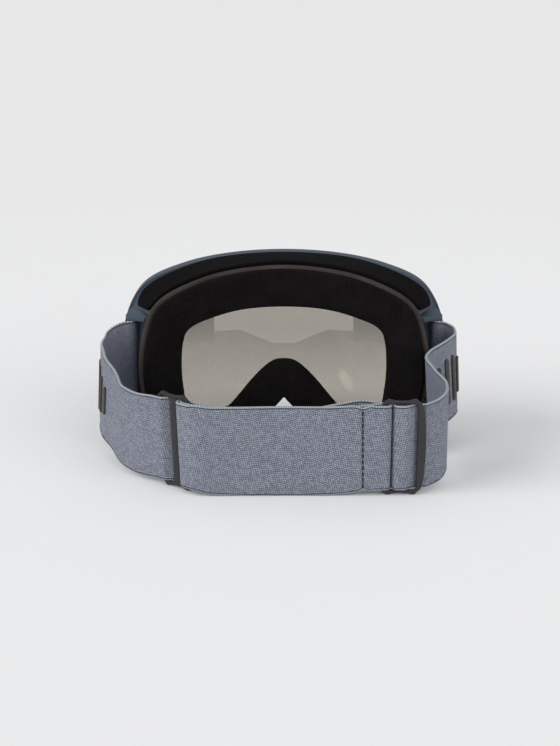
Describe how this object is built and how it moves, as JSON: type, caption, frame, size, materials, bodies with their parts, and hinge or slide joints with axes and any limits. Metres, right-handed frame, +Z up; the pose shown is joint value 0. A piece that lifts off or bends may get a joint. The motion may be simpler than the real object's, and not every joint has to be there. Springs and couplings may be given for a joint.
{
  "type": "snow goggles",
  "caption": "Snow goggles with an inner and an outer lens, a vented soft frame, fleece-lined face foam and a wide elastic strap adjusted by sliders.",
  "frame": {"origin": "on the surface that the goggles rest on, at the middle of their footprint", "axes": "+X to the right seen from behind the goggles, the way the camera looks, +Y forwards out through the lens, +Z up"},
  "size_m": [0.1859, 0.1209, 0.0989],
  "materials": {
    "frame_shell": "satin",
    "lens": "gloss",
    "gasket": "matte",
    "vent_foam": "open-cell foam",
    "face_foam": "closed-cell foam",
    "fleece": "brushed fleece",
    "webbing": "twill webbing",
    "slider": "satin",
    "print": "raised print",
    "thread": "sewn thread"
  },
  "bodies": {
    "root": {"frame": "frame_shell", "outer_lens": "lens", "inner_lens": "lens", "lens_gasket": "gasket", "brow_vent_foam": "vent_foam", "left_vent_foam": "vent_foam", "right_vent_foam": "vent_foam", "face_foam": "face_foam", "fleece_lining": "fleece", "left_side_strap": "webbing", "left_strap_run": "webbing", "right_side_strap": "webbing", "right_strap_run": "webbing", "outer_back_strap": "webbing", "inner_back_strap": "webbing", "left_bar_stitches": "thread", "right_bar_stitches": "thread", "left_ribs": "print", "right_ribs": "print"},
    "left_adjuster": {"left_slider": "slider", "left_threaded_strap": "webbing", "left_strap_tail": "webbing", "left_tail_stitches": "thread"},
    "right_adjuster": {"right_slider": "slider", "right_threaded_strap": "webbing", "right_strap_tail": "webbing", "right_tail_stitches": "thread"}
  },
  "joints": [
    {"name": "left_slider_slide", "type": "slide", "parent": "root", "child": "left_adjuster", "axis": [0.7986, -0.6018, 0], "range_m": [-0.018, 0.012], "deforming": ["left_strap_run", "outer_back_strap", "inner_back_strap"]},
    {"name": "right_slider_slide", "type": "slide", "parent": "root", "child": "right_adjuster", "axis": [-1, 0, 0], "range_m": [-0.004, 0.035], "deforming": ["right_strap_run", "outer_back_strap", "inner_back_strap"]}
  ]
}
